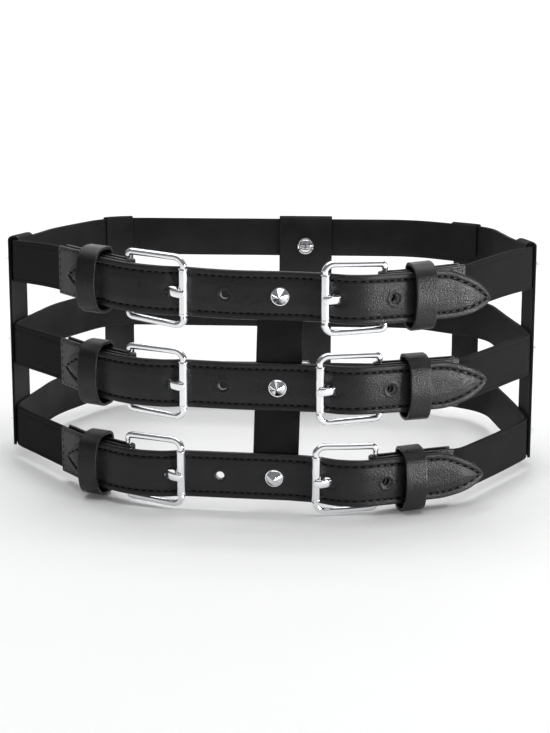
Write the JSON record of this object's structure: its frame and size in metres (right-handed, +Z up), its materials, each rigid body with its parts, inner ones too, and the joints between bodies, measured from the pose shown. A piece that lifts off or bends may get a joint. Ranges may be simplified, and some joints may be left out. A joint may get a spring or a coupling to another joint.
{
  "type": "women's harness belt",
  "caption": "Corset-style harness belt of level black leather straps joined by upright straps, with roller buckles, pointed strap ends, loops and cone studs.",
  "frame": {"origin": "middle of the belt's footprint, at the height of its lowest point, as it stands on its lower edge", "axes": "+Z up through the waist, the buckled front faces -Y, and +X is the right side in the picture"},
  "size_m": [0.2982, 0.2066, 0.1296],
  "materials": {
    "plain_leather": "smooth black imitation leather, semi-gloss",
    "grain_leather": "fine-grained black imitation leather, padded and stitched",
    "chrome": "polished"
  },
  "bodies": {
    "root": {"lower_base_strap": "plain_leather", "lower_centre_strap": "grain_leather", "lower_left_chape": "grain_leather", "lower_left_buckle_frame": "chrome", "lower_left_roller": "chrome", "lower_left_prong": "chrome", "lower_left_keeper": "grain_leather", "lower_right_chape": "grain_leather", "lower_right_buckle_frame": "chrome", "lower_right_roller": "chrome", "lower_right_prong": "chrome", "lower_right_keeper": "grain_leather", "middle_base_strap": "plain_leather", "middle_centre_strap": "grain_leather", "middle_left_chape": "grain_leather", "middle_left_buckle_frame": "chrome", "middle_left_roller": "chrome", "middle_left_prong": "chrome", "middle_left_keeper": "grain_leather", "middle_right_chape": "grain_leather", "middle_right_buckle_frame": "chrome", "middle_right_roller": "chrome", "middle_right_prong": "chrome", "middle_right_keeper": "grain_leather", "upper_base_strap": "plain_leather", "upper_centre_strap": "grain_leather", "upper_left_chape": "grain_leather", "upper_left_buckle_frame": "chrome", "upper_left_roller": "chrome", "upper_left_prong": "chrome", "upper_left_keeper": "grain_leather", "upper_right_chape": "grain_leather", "upper_right_buckle_frame": "chrome", "upper_right_roller": "chrome", "upper_right_prong": "chrome", "upper_right_keeper": "grain_leather", "left_side_upright_strap": "plain_leather", "right_side_upright_strap": "plain_leather", "back_left_upright_strap": "plain_leather", "back_right_upright_strap": "plain_leather", "back_upright_strap": "plain_leather", "front_upright_strap": "plain_leather", "lower_left_stud": "chrome", "middle_left_stud": "chrome", "upper_left_stud": "chrome", "lower_right_stud": "chrome", "middle_right_stud": "chrome", "upper_right_stud": "chrome", "lower_back_stud": "chrome", "middle_back_stud": "chrome", "upper_back_stud": "chrome", "lower_front_stud": "chrome", "middle_front_stud": "chrome", "upper_front_stud": "chrome"}
  },
  "joints": []
}
